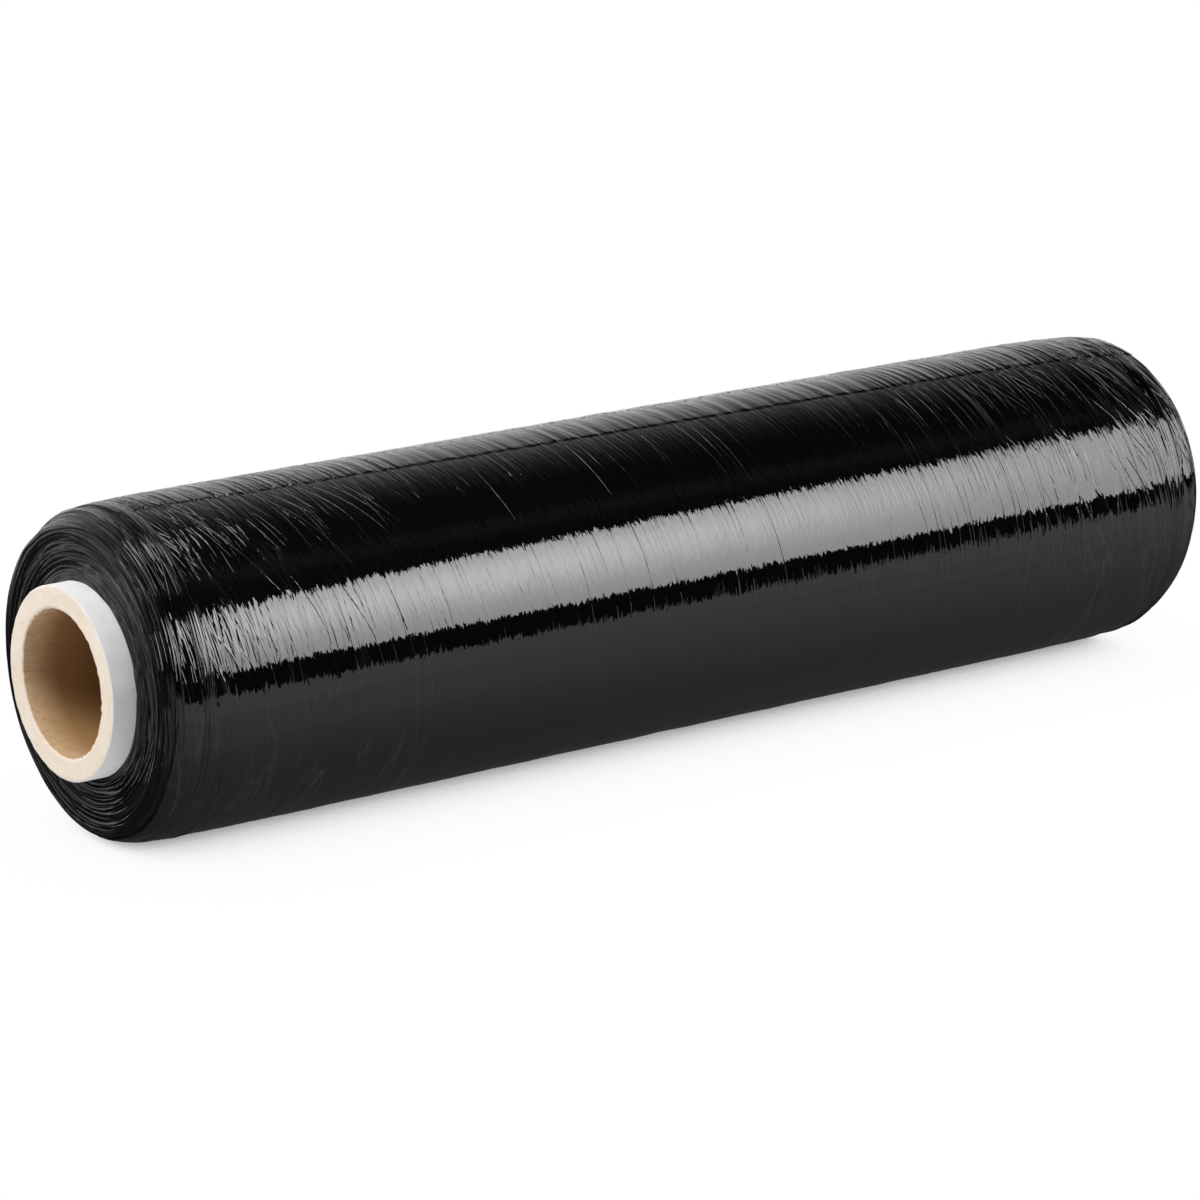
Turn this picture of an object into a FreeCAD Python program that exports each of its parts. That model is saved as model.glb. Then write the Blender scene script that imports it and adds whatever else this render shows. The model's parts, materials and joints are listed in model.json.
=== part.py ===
"""Roll of black stretch wrap on a paper core, lying on its side.

The roll is two pieces. The core tube is one wound paper tube, open from end to end. The film winding is one
continuous strip wound tight on the tube, so its turns make one solid: a barrel that grows a little thinner
towards its ends, with end faces that show the edges of the turns as ridges that wander, the last turns set back
from the rest, a step where the loose end of the film lies, and a narrow flat along the bottom where the soft
winding rests.

Frame: the roll's axis runs along X. The origin lies under the middle of the roll, on the surface that it rests
on, with Z up. Both pieces are drawn round the X axis and then raised until the flat lies at Z = 0. Angles round
the roll count from +Y, over the top, to -Y, which is the front.
"""
import FreeCAD, Part
import math
import os
import Sketcher

DRIVING_SIZES = [
    ("core_bore_dia", 50.8, "inside diameter of the core tube"),
    ("core_wall", 7.9, "thickness of the paper wall"),
    ("core_reach", 9.0, "how far the core stands out past the inner turns at each end"),
    ("mouth_bevel", 0.5, "bevel round each mouth of the bore"),
    ("rim_bevel", 0.3, "bevel round the outside of each cut end"),
    ("film_width", 451.0, "width of the winding over its inner turns"),
    ("film_dia", 116.0, "outside diameter of the middle of the winding"),
    ("edge_room", 5.0, "how far the blank runs past the inner turns before its ends are shaped"),
    ("sag_length", 65.0, "length at each end of the blank over which it grows thinner"),
    ("sag_drop", 1.5, "how much smaller the blank's radius is at its ends"),
    ("set_back", 9.0, "how far the last turns lie behind the inner ones"),
    ("near_lean", 1.2, "how far the last turns lean out of square at the near end"),
    ("far_lean", 4.5, "how far the last turns lean out of square at the far end"),
    ("ridge_groups", 12.0, "number of ridges that the turns make in an end face"),
    ("ridge_depth", 0.9, "height of a ridge over the grooves beside it"),
    ("ridge_wander", 0.8, "how far an edge strays sideways on its way round"),
    ("flat_depth", 0.35, "depth of the flat on which the roll rests"),
    ("tail_step", 0.2, "step down at the loose end of the film"),
    ("tail_angle", 102.5, "where the loose end lies, in degrees round the roll"),
    ("tail_slant", 1.4, "how far the loose end slants from the roll's axis, in degrees"),
]

NEAR_SIDE = -1
FAR_SIDE = 1
NEAR_LEANS_TOWARDS = math.radians(165)
FAR_LEANS_TOWARDS = math.radians(130)
SET_BACK_POWER = 8  # keeps an end face nearly flat as far as its rounded shoulder
LEAN_POWER = 2  # the lean grows from the core outwards
LOOP_POINTS = 16  # points through which each wandering edge runs
GOLDEN_ANGLE = 2.399963  # radians, spreads the sway of neighbouring edges evenly


def make_sheet(document):
    """Writes the driving sizes into a spreadsheet, one alias each."""
    sheet = document.addObject("Spreadsheet::Sheet", "Sizes")
    for row, (alias, value, meaning) in enumerate(DRIVING_SIZES, start=1):
        sheet.set(f"A{row}", meaning)
        sheet.set(f"B{row}", str(value))
        sheet.setAlias(f"B{row}", alias)
    document.recompute()
    return sheet


def make_sketch(body, name, role):
    """A new sketch on one of the body's own origin planes."""
    sketch = body.newObject("Sketcher::SketchObject", name)
    plane = next(item for item in body.Origin.OriginFeatures if item.Role == role)
    sketch.AttachmentSupport = (plane, [""])
    sketch.MapMode = "FlatFace"
    return sketch


def bind(sketch, constraint, formula):
    """Adds a driving dimension and ties it to the spreadsheet."""
    index = sketch.addConstraint(constraint)
    sketch.setExpression(f"Constraints[{index}]", formula)


def bevel_rims(document, body, name, radius, alias):
    """Bevels the two round rims of one radius at the body's ends."""
    base = body.Tip
    rims = [
        f"Edge{number}"
        for number, edge in enumerate(base.Shape.Edges, start=1)
        if isinstance(edge.Curve, Part.Circle) and abs(edge.Curve.Radius - radius) < 1e-6
    ]
    bevel = body.newObject("PartDesign::Chamfer", name)
    bevel.Base = (base, rims)
    bevel.setExpression("Size", f"Sizes.{alias}")
    document.recompute()


def make_core_tube(document):
    """The paper tube: a ring padded both ways from its middle, with bevelled rims."""
    body = document.addObject("PartDesign::Body", "CoreTube")
    body.Label = "core_tube"
    sketch = make_sketch(body, "TubeSection", "YZ_Plane")
    bore = sketch.addGeometry(Part.Circle(FreeCAD.Vector(), FreeCAD.Vector(0, 0, 1), bore_radius))
    outside = sketch.addGeometry(Part.Circle(FreeCAD.Vector(), FreeCAD.Vector(0, 0, 1), seat_radius))
    for ring in (bore, outside):
        sketch.addConstraint(Sketcher.Constraint("Coincident", ring, 3, -1, 1))
    bore_dia = Sketcher.Constraint("Diameter", bore, 2 * bore_radius)
    outside_dia = Sketcher.Constraint("Diameter", outside, 2 * seat_radius)
    bind(sketch, bore_dia, "Sizes.core_bore_dia")
    bind(sketch, outside_dia, "Sizes.core_bore_dia + 2 * Sizes.core_wall")

    tube = body.newObject("PartDesign::Pad", "Tube")
    tube.Profile = sketch
    tube.SideType = "Symmetric"
    tube.setExpression("Length", "Sizes.film_width + 2 * Sizes.core_reach")
    document.recompute()
    bevel_rims(document, body, "MouthBevel", bore_radius, "mouth_bevel")
    bevel_rims(document, body, "RimBevel", seat_radius, "rim_bevel")
    return body


def make_blank(document):
    """The winding before its ends are shaped: a half section turned round the roll's axis.

    The section is a plain length in the middle and two slopes towards each end, the outer one the steeper.
    """
    body = document.addObject("PartDesign::Body", "Blank")
    sketch = make_sketch(body, "BlankSection", "XZ_Plane")
    half = size("film_width") / 2 + size("edge_room")
    sag = size("sag_length")
    drop = size("sag_drop")
    corners = [
        FreeCAD.Vector(-half, seat_radius, 0),
        FreeCAD.Vector(-half, outer_radius - drop, 0),
        FreeCAD.Vector(-half + sag / 2, outer_radius - drop / 4, 0),
        FreeCAD.Vector(-half + sag, outer_radius, 0),
        FreeCAD.Vector(half - sag, outer_radius, 0),
        FreeCAD.Vector(half - sag / 2, outer_radius - drop / 4, 0),
        FreeCAD.Vector(half, outer_radius - drop, 0),
        FreeCAD.Vector(half, seat_radius, 0),
    ]
    lines = []
    for corner, following in zip(corners, corners[1:] + corners[:1]):
        lines.append(sketch.addGeometry(Part.LineSegment(corner, following)))
    for line, following in zip(lines, lines[1:] + lines[:1]):
        sketch.addConstraint(Sketcher.Constraint("Coincident", line, 2, following, 1))
    near_end, near_steep, near_gentle, top, far_gentle, far_steep, far_end, seat = lines
    for constraint in (
        Sketcher.Constraint("Vertical", near_end),
        Sketcher.Constraint("Symmetric", seat, 1, seat, 2, -2),
        Sketcher.Constraint("Symmetric", near_end, 2, far_end, 1, -2),
        Sketcher.Constraint("Symmetric", near_steep, 2, far_steep, 1, -2),
        Sketcher.Constraint("Symmetric", top, 1, top, 2, -2),
    ):
        sketch.addConstraint(constraint)
    blank_length = Sketcher.Constraint("DistanceX", seat, 2, seat, 1, 2 * half)
    steep_length = Sketcher.Constraint("DistanceX", near_steep, 1, near_steep, 2, sag / 2)
    gentle_length = Sketcher.Constraint("DistanceX", near_gentle, 1, near_gentle, 2, sag / 2)
    seat_height = Sketcher.Constraint("DistanceY", -1, 1, seat, 2, seat_radius)
    end_height = Sketcher.Constraint("DistanceY", -1, 1, near_end, 2, outer_radius - drop)
    slope_height = Sketcher.Constraint("DistanceY", -1, 1, near_steep, 2, outer_radius - drop / 4)
    top_height = Sketcher.Constraint("DistanceY", -1, 1, top, 1, outer_radius)
    bind(sketch, blank_length, "Sizes.film_width + 2 * Sizes.edge_room")
    bind(sketch, steep_length, "Sizes.sag_length / 2")
    bind(sketch, gentle_length, "Sizes.sag_length / 2")
    bind(sketch, seat_height, "Sizes.core_bore_dia / 2 + Sizes.core_wall")
    bind(sketch, end_height, "Sizes.film_dia / 2 - Sizes.sag_drop")
    bind(sketch, slope_height, "Sizes.film_dia / 2 - Sizes.sag_drop / 4")
    bind(sketch, top_height, "Sizes.film_dia / 2")

    turned = body.newObject("PartDesign::Revolution", "Turned")
    turned.Profile = sketch
    turned.ReferenceAxis = (sketch, ["H_Axis"])
    turned.Angle = 360
    document.recompute()
    return body


def edge_reach(share, order, side, angle):
    """How far one edge of film lies from the middle of the roll, at an angle round it.

    share runs from 0 at the core to 1 at the outside. Even orders are grooves between the ridges.
    """
    lean = size("near_lean") if side == NEAR_SIDE else size("far_lean")
    leans_towards = NEAR_LEANS_TOWARDS if side == NEAR_SIDE else FAR_LEANS_TOWARDS
    phase = GOLDEN_ANGLE * order + side
    sway = math.sin(angle + phase) + 0.6 * math.sin(2 * angle + 1.7 * phase)
    reach = size("film_width") / 2
    reach -= size("set_back") * share**SET_BACK_POWER
    reach += lean * share**LEAN_POWER * math.cos(angle - leans_towards)
    reach -= size("ridge_depth") if order % 2 == 0 else 0
    reach -= size("ridge_wander") / 2 * (1 + sway / 1.6)
    return reach


def closed_curve(radius, reach_at):
    """A smooth closed curve round the roll's axis, through points whose distance along it is reach_at(angle)."""
    points = []
    for step in range(LOOP_POINTS):
        angle = 2 * math.pi * step / LOOP_POINTS
        points.append(FreeCAD.Vector(reach_at(angle), radius * math.cos(angle), radius * math.sin(angle)))
    curve = Part.BSplineCurve()
    curve.interpolate(Points=points, PeriodicFlag=True)
    return curve.toShape()


def make_end_relief(document, name, side):
    """What is cut from one end of the blank, to leave the edges of the turns as ridges and grooves.

    It is a ring of ruled bands, each between the edge of one turn and the edge of the next, closed past the
    blank's end. The first edge lies inside the seat and the last one outside the blank, so every band that
    meets a surface of the blank crosses it.
    """
    bands = 2 * round(size("ridge_groups"))
    depth = outer_radius - seat_radius
    curves = []
    for order in range(bands + 2):
        share = (order - 0.5) / bands
        radius = seat_radius + share * depth
        held = min(max(share, 0), 1)
        curves.append(closed_curve(radius, lambda angle: side * edge_reach(held, order, side, angle)))
    past_end = side * (size("film_width") / 2 + 2 * size("edge_room"))
    curves.append(closed_curve(seat_radius + (bands + 0.5) / bands * depth, lambda angle: past_end))
    curves.append(closed_curve(seat_radius - 0.5 / bands * depth, lambda angle: past_end))

    faces = []
    for curve, following in zip(curves, curves[1:] + curves[:1]):
        faces.append(Part.makeRuledSurface(curve, following))
    shell = Part.Shell(faces)
    shell.sewShape()
    ring = Part.makeSolid(shell)
    if ring.Volume < 0:
        ring.reverse()
    relief = document.addObject("Part::Feature", name)
    relief.Shape = ring
    return relief


def make_shaving_box(document, name, depth_alias):
    """A box as long as the blank, that reaches from a chord below the outside of the winding outwards."""
    box = document.addObject("Part::Box", name)
    box.setExpression("Length", "Sizes.film_width + 4 * Sizes.edge_room")
    box.setExpression("Width", "Sizes.film_dia / 2")
    box.setExpression("Height", f"Sizes.film_dia / 8 + Sizes.{depth_alias}")
    return box


def make_rest_flat(document):
    """The box that takes the narrow flat off the bottom of the winding."""
    box = make_shaving_box(document, "RestFlat", "flat_depth")
    box.setExpression("Placement.Base.x", "-Sizes.film_width / 2 - 2 * Sizes.edge_room")
    box.setExpression("Placement.Base.y", "-Sizes.film_dia / 4")
    box.setExpression("Placement.Base.z", "-Sizes.film_dia / 2 - Sizes.film_dia / 8")
    return box


def make_tail_step(document):
    """The box that leaves the step at the loose end of the film: it shaves the turn below, just in front of it."""
    box = make_shaving_box(document, "TailStep", "tail_step")
    length = size("film_width") + 4 * size("edge_room")
    width = size("film_dia") / 2
    slant = FreeCAD.Rotation(FreeCAD.Vector(0, 0, 1), -size("tail_slant"))
    turn = FreeCAD.Rotation(FreeCAD.Vector(1, 0, 0), size("tail_angle") - 90)
    lifted = FreeCAD.Placement(FreeCAD.Vector(0, 0, outer_radius - size("tail_step")), slant)
    in_front = FreeCAD.Placement(FreeCAD.Vector(-length / 2, -width, 0), FreeCAD.Rotation())
    box.Placement = FreeCAD.Placement(FreeCAD.Vector(), turn) * lifted * in_front
    return box


def make_film_winding(document):
    """The winding: the blank less what shapes its two ends, its flat and its loose end."""
    shaping = document.addObject("Part::MultiFuse", "Shaping")
    shaping.Shapes = [
        make_end_relief(document, "NearRelief", NEAR_SIDE),
        make_end_relief(document, "FarRelief", FAR_SIDE),
        make_rest_flat(document),
        make_tail_step(document),
    ]
    winding = document.addObject("Part::Cut", "FilmWinding")
    winding.Label = "film_winding"
    winding.Base = make_blank(document)
    winding.Tool = shaping
    document.recompute()
    return winding


def check_document(document):
    """Stops if any object of the document failed."""
    for item in document.Objects:
        if "Invalid" in item.State or "Error" in item.State:
            raise RuntimeError(f"{item.Name} failed")


def write_piece(piece):
    """Writes one finished piece to a file named by its label."""
    shape = piece.Shape
    if shape.isNull() or not shape.isValid():
        raise RuntimeError(f"{piece.Label} has no valid shape")
    shape.exportStep(f"parts/{piece.Label}.step")
    print(piece.Label, "solids", len(shape.Solids), "faces", len(shape.Faces), "volume", round(shape.Volume, 1))


doc = FreeCAD.newDocument("StretchWrapRoll")
sizes = make_sheet(doc)


def size(alias):
    """A driving size, read back from the spreadsheet."""
    return float(sizes.get(alias))


bore_radius = size("core_bore_dia") / 2
seat_radius = bore_radius + size("core_wall")
outer_radius = size("film_dia") / 2

pieces = [make_core_tube(doc), make_film_winding(doc)]
for piece in pieces:
    piece.setExpression("Placement.Base.z", "Sizes.film_dia / 2 - Sizes.flat_depth")
doc.recompute()
check_document(doc)
os.makedirs("parts", exist_ok=True)
for piece in pieces:
    write_piece(piece)
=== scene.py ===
# %% [markdown]
# # A roll of black stretch wrap
#
# Stretch wrap is a thin, glossy polyethylene film that is wound, hundreds of turns of it, on a paper
# tube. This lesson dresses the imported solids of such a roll. It goes from the outside in: first the
# camera and the light, because black film shows little but what it mirrors, then the paper tube, then the
# edges of the turns, and last the outer turn with its wrinkles and its loose end.

# %% The fixed frame
import json
import math

import bpy
import numpy as np
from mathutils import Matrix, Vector


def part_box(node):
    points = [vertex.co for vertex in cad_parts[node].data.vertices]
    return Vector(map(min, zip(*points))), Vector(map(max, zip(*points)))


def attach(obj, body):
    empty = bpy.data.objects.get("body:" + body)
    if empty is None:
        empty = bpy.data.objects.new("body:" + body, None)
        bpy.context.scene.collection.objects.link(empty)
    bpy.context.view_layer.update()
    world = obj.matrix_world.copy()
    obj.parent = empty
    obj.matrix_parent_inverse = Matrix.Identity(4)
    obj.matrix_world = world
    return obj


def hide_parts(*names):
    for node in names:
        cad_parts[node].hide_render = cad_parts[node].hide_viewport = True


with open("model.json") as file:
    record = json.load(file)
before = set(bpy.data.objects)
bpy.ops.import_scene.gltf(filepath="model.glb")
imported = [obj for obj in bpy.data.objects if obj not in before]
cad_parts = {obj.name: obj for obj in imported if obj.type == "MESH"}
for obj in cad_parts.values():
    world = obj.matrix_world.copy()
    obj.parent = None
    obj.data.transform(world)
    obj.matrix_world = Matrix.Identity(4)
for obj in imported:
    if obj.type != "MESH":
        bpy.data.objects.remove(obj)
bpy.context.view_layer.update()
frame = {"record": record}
core_low, core_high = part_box("core_tube")
film_low, film_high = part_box("film_winding")

# %% [markdown]
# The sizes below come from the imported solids, so that the looks stay where the solids are. Shapes are
# worked out in millimetres, which suit wrinkles, and turned into metres when a mesh is made. A place on
# the roll is a distance along its axis and an angle round it: 0 degrees faces the front, 90 degrees is
# the top.

# %% Sizes read from the solids
MM = 0.001
axis_height = (core_low.z + core_high.z) / 2 / MM
core_radius = (core_high.z - core_low.z) / 2 / MM
core_half = core_high.x / MM
bore_radius = frame["record"]["mounts"][0]["dims"]["r_mm"]
film_radius = film_high.z / MM - axis_height
film_half = 225.5
film_width = 2 * film_half
print("axis", round(axis_height, 2), "core", round(core_radius, 2), "film", round(film_radius, 2))

# %% [markdown]
# ## The camera
#
# A long lens from well back keeps the roll's sides nearly parallel, as in a catalogue picture. The
# direction is given as an angle to the side and an angle up, and the distance and lens follow from the
# roll's outline.

# %% Camera
AIM = Vector((-0.0119, 0.0, 0.0498))
CAMERA_DISTANCE = 1.8063
CAMERA_SIDE = math.radians(-36.507)
CAMERA_UP = math.radians(15.525)
LENS_MM = 151.56

camera_data = bpy.data.cameras.new("camera")
camera_data.lens = LENS_MM
camera_data.sensor_width = 36.0
camera = bpy.data.objects.new("camera", camera_data)
bpy.context.scene.collection.objects.link(camera)
back = Vector((
    math.sin(CAMERA_SIDE) * math.cos(CAMERA_UP),
    -math.cos(CAMERA_SIDE) * math.cos(CAMERA_UP),
    math.sin(CAMERA_UP),
))
camera.location = AIM + CAMERA_DISTANCE * back
camera.rotation_euler = (-back).to_track_quat("-Z", "Y").to_euler()
bpy.context.scene.camera = camera
bpy.context.scene.view_settings.view_transform = "Standard"
print("camera at", tuple(round(v, 3) for v in camera.location))

# %% [markdown]
# ## Node helpers
#
# Every finish here is a small node tree. A few helpers keep those trees readable. The first adds a node
# and plugs values or other nodes into its inputs in one line. The others start a material or a group,
# place a group, work out a number, or stretch a value to another range.

# %% Node helpers
def add(tree, kind, inputs=(), **settings):
    """A new node with its settings made, and its inputs filled by values or linked from sockets."""
    node = tree.nodes.new(kind)
    for name, value in settings.items():
        setattr(node, name, value)
    for key, value in dict(inputs).items():
        if isinstance(value, bpy.types.NodeSocket):
            tree.links.new(value, node.inputs[key])
        else:
            node.inputs[key].default_value = value
    return node


def start_material(name):
    """A material with an empty tree and its surface shader."""
    material = bpy.data.materials.new(name)
    material.use_nodes = True
    tree = material.node_tree
    tree.nodes.clear()
    surface = tree.nodes.new("ShaderNodeBsdfPrincipled")
    out = tree.nodes.new("ShaderNodeOutputMaterial")
    tree.links.new(surface.outputs["BSDF"], out.inputs["Surface"])
    return material, tree, surface


def start_group(name, inputs, outputs):
    """A node group with named number inputs and named outputs."""
    group = bpy.data.node_groups.new(name, "ShaderNodeTree")
    for label, value in inputs.items():
        socket = group.interface.new_socket(label, in_out="INPUT", socket_type="NodeSocketFloat")
        socket.default_value = value
    for label in outputs:
        group.interface.new_socket(label, in_out="OUTPUT", socket_type="NodeSocketFloat")
    return group, group.nodes.new("NodeGroupInput").outputs, group.nodes.new("NodeGroupOutput").inputs


def place_group(tree, group, values=()):
    """One use of a group in a material, with its own values."""
    node = tree.nodes.new("ShaderNodeGroup")
    node.node_tree = group
    for label, value in dict(values).items():
        node.inputs[label].default_value = value
    return node.outputs


def calculate(tree, operation, *values, **settings):
    """The result of one math node."""
    return add(tree, "ShaderNodeMath", dict(enumerate(values)), operation=operation, **settings).outputs[0]


def remap(tree, value, low, high, to_low=0.0, to_high=1.0, **settings):
    """A value stretched from one range to another and held inside it."""
    inputs = {"Value": value, "From Min": low, "From Max": high, "To Min": to_low, "To Max": to_high}
    return add(tree, "ShaderNodeMapRange", inputs, **settings).outputs[0]


# %% [markdown]
# ## The stage
#
# Black film is lit by what it mirrors, and white paper by what falls on it. A photographer shapes the two
# with cards and flags; here each light and the table simply answer the two kinds of ray with a brightness
# of their own. The roll lies on a white table that stops about 0.4 m in front of its left end. Past that
# edge the room is dark, and the film mirrors the gap as the black line under its bright band. Close to the
# roll, in front and behind, the mirrored table is painted darker, a painted shadow of the roll. The camera
# sees it white with a painted soft shadow close to the roll, drawn from how closed in each spot is.

# %% White table
table_outline = [(-2.2, -0.40), (0.30, -0.42), (0.46, -0.50), (2.6, -1.06), (2.6, 3.2), (-2.2, 3.2)]
table_mesh = bpy.data.meshes.new("table")
table_mesh.from_pydata([(x, y, 0.0) for x, y in table_outline], [], [tuple(range(len(table_outline)))])
table = bpy.data.objects.new("table", table_mesh)
bpy.context.scene.collection.objects.link(table)


def fill_ramp(node, stops):
    """Sets a colour ramp to grey stops, each a position and a brightness."""
    ramp = node.color_ramp
    while len(ramp.elements) > 1:
        ramp.elements.remove(ramp.elements[-1])
    ramp.elements[0].position = stops[0][0]
    ramp.elements[0].color = (*[stops[0][1]] * 3, 1)
    for position, value in stops[1:]:
        ramp.elements.new(position).color = (value, value, value, 1)


table_material = bpy.data.materials.new("white_table")
table_material.use_nodes = True
tree = table_material.node_tree
tree.nodes.clear()
place = add(tree, "ShaderNodeTexCoord").outputs["Object"]
split = add(tree, "ShaderNodeSeparateXYZ", {0: place}).outputs
# Painted shadow: seen in the film, the table is darker close to the roll, in front and behind, set by its
# place on the table.
in_front = remap(tree, split["Y"], 1.0, -0.5)
mirrored_shade = add(tree, "ShaderNodeValToRGB", {0: in_front})
fill_ramp(mirrored_shade, [
    (0.0, 0.85), (0.267, 0.68), (0.40, 0.50), (0.44, 0.34), (0.48, 0.13), (0.625, 0.05), (0.665, 0.015),
    (0.685, 0.06),
    (0.697, 0.15), (0.711, 0.27), (0.737, 0.52), (0.813, 0.76), (1.0, 0.84),
])
long_place = add(
    tree, "ShaderNodeVectorMath", {0: place, 1: (2.5, 26.0, 1.0)}, operation="MULTIPLY"
).outputs[0]
unevenness = add(
    tree, "ShaderNodeTexNoise", {"Vector": long_place, "Scale": 1.0, "Detail": 3.0}
).outputs["Fac"]
unevenness = remap(tree, unevenness, 0.3, 0.7, 0.88, 1.10)
mirrored = add(
    tree, "ShaderNodeEmission", {"Color": mirrored_shade.outputs["Color"], "Strength": unevenness}
).outputs[0]
lighting = add(tree, "ShaderNodeEmission", {"Color": (0.90, 0.90, 0.90, 1)}).outputs[0]
# Painted shadow: the camera sees the white table darkened where the roll closes it in, a painted contact
# shadow.
openness = add(tree, "ShaderNodeAmbientOcclusion", {"Distance": 0.06}, samples=16).outputs["AO"]
seen_shade = add(tree, "ShaderNodeValToRGB", {0: openness})
fill_ramp(seen_shade, [
    (0.0, 0.22), (0.053, 0.42), (0.08, 0.56), (0.107, 0.69), (0.163, 0.79), (0.203, 0.84), (0.31, 0.92),
    (0.45, 0.965),
    (0.65, 0.99), (0.92, 1.0),
])
seen = add(tree, "ShaderNodeEmission", {"Color": seen_shade.outputs["Color"]}).outputs[0]
ray = add(tree, "ShaderNodeLightPath").outputs
answer = add(tree, "ShaderNodeMixShader", {0: ray["Is Glossy Ray"], 1: lighting, 2: mirrored}).outputs[0]
answer = add(tree, "ShaderNodeMixShader", {0: ray["Is Camera Ray"], 1: answer, 2: seen}).outputs[0]
add(tree, "ShaderNodeOutputMaterial", {"Surface": answer})
table_mesh.materials.append(table_material)
print("table reaches", round(-table_outline[1][1], 2), "m in front at the left")

# %% [markdown]
# Behind the roll stands a white sweep that fades out overhead, which the top of the film mirrors at a
# shallow angle as its grey rim. The room's world shader makes it: brightness depends on how far round
# from the front horizon, over the top, to the back horizon a ray points. The camera itself sees plain
# white.

# %% Room
world = bpy.data.worlds.new("room")
bpy.context.scene.world = world
world.use_nodes = True
tree = world.node_tree
tree.nodes.clear()
direction = add(tree, "ShaderNodeTexCoord").outputs["Generated"]
split = add(tree, "ShaderNodeSeparateXYZ", {0: direction}).outputs
forward = calculate(tree, "MULTIPLY", split["Y"], -1.0)
round_angle = calculate(tree, "ARCTAN2", split["Z"], forward)
half_turns = calculate(tree, "DIVIDE", round_angle, math.pi)
sweep = add(tree, "ShaderNodeValToRGB", {0: half_turns})
fill_ramp(sweep, [(0.0, 0.0)] + [(degrees / 180, value) for degrees, value in (
    (62, 0.0), (70, 0.08), (78, 0.0), (105, 0.0), (107, 0.030), (112, 0.045), (118, 0.08), (124, 0.15),
    (130, 0.25), (137, 0.37), (142, 0.48),
    (148, 0.61), (160, 0.76), (170, 0.83), (180, 0.86),
)])
sweep_light = add(tree, "ShaderNodeBackground", {"Color": sweep.outputs["Color"]}).outputs[0]
room_light = add(tree, "ShaderNodeBackground", {"Color": (0.20, 0.20, 0.20, 1)}).outputs[0]
plain_white = add(tree, "ShaderNodeBackground", {"Color": (1, 1, 1, 1)}).outputs[0]
ray = add(tree, "ShaderNodeLightPath").outputs
answer = add(tree, "ShaderNodeMixShader", {0: ray["Is Glossy Ray"], 1: room_light, 2: sweep_light}).outputs[0]
answer = add(tree, "ShaderNodeMixShader", {0: ray["Is Camera Ray"], 1: answer, 2: plain_white}).outputs[0]
add(tree, "ShaderNodeOutputWorld", {"Surface": answer})
print("room made")

# %% [markdown]
# The bright band along the film is the mirror image of one long softbox that stands to the right of the
# camera, low and close. Its height, lean and turn set where the band's two edges run. Like any softbox it
# is brightest over its lamp and fades to its sides, so it is a panel whose glow is a broad slope plus one
# soft spot, and a flag trims its upper edge. Two more lights show only in the film: one in the shoulder
# at the near end, and one nearly overhead, which glints in every crease steep enough to tip towards it.
# The last light is for the paper alone and comes from the left.

# %% Softboxes
NEAR_END = Vector((-0.2255, 0.0, 0.0577))


def add_area(name, direction, distance, size_x, size_y, radiance, in_film):
    """A rectangular light of a wanted brightness, seen from the near end in a direction."""
    data = bpy.data.lights.new(name, "AREA")
    data.shape = "RECTANGLE"
    data.size = size_x
    data.size_y = size_y
    data.energy = radiance * math.pi * size_x * size_y
    light = bpy.data.objects.new(name, data)
    bpy.context.scene.collection.objects.link(light)
    towards = Vector(direction).normalized()
    light.location = NEAR_END + distance * towards
    light.rotation_euler = (-towards).to_track_quat("-Z", "Y").to_euler()
    light.visible_diffuse = not in_film
    light.visible_glossy = in_film
    return light


PANEL_WIDTH, PANEL_HEIGHT = 1.005, 0.4400
PANEL_TOP = [(1.0, 0.80), (0.68, 0.855), (0.57, 0.92), (0.43, 0.972), (0.28, 1.0), (0.15, 0.93), (0.0, 0.90)]
BAND_TURN = 0.297
BAND_LEAN = 0.333
across = Vector((math.cos(BAND_TURN), math.sin(BAND_TURN), 0.0))
facing = Vector(
    (
        -math.sin(BAND_TURN) * math.cos(BAND_LEAN), math.cos(BAND_TURN) * math.cos(BAND_LEAN),
        -math.sin(BAND_LEAN)
    )
)
upwards = facing.cross(across)
upwards = upwards if upwards.z > 0 else -upwards
panel_centre = Vector((0.1996, -0.4988, 0.3281)) + 0.2975 * across
panel_outline = [(0.0, 0.0), (1.0, 0.0)] + PANEL_TOP
corners = [
    panel_centre + (a - 0.5) * PANEL_WIDTH * across + (b - 0.5) * PANEL_HEIGHT * upwards for a,
    b in panel_outline
]
panel_mesh = bpy.data.meshes.new("band_softbox")
panel_mesh.from_pydata(corners, [], [tuple(range(len(corners)))])
panel_places = panel_mesh.uv_layers.new(name="UVMap")
for loop, place in zip(panel_places.data, panel_outline):
    loop.uv = place
panel = bpy.data.objects.new("band_softbox", panel_mesh)
bpy.context.scene.collection.objects.link(panel)
panel.visible_camera = False
panel.visible_diffuse = False

panel_glow = bpy.data.materials.new("softbox_glow")
panel_glow.use_nodes = True
tree = panel_glow.node_tree
tree.nodes.clear()
place = add(tree, "ShaderNodeTexCoord").outputs["UV"]
split = add(tree, "ShaderNodeSeparateXYZ", {0: place}).outputs
slope = remap(tree, split["Y"], 0.0, 1.0, 0.55, 0.58)
aside = calculate(tree, "DIVIDE", calculate(tree, "SUBTRACT", split["X"], 0.256), 0.25)
above = calculate(tree, "DIVIDE", calculate(tree, "SUBTRACT", split["Y"], 0.62), 0.36)
away = add(
    tree, "ShaderNodeVectorMath", {0: add(tree, "ShaderNodeCombineXYZ", {0: aside, 1: above}).outputs[0]},
    operation="LENGTH"
).outputs["Value"]
spot = calculate(tree, "POWER", math.exp(-1), calculate(tree, "MULTIPLY", away, away))
glow = calculate(tree, "MULTIPLY_ADD", spot, 0.60, slope)
strength = calculate(tree, "MULTIPLY", glow, 9.3)
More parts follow.
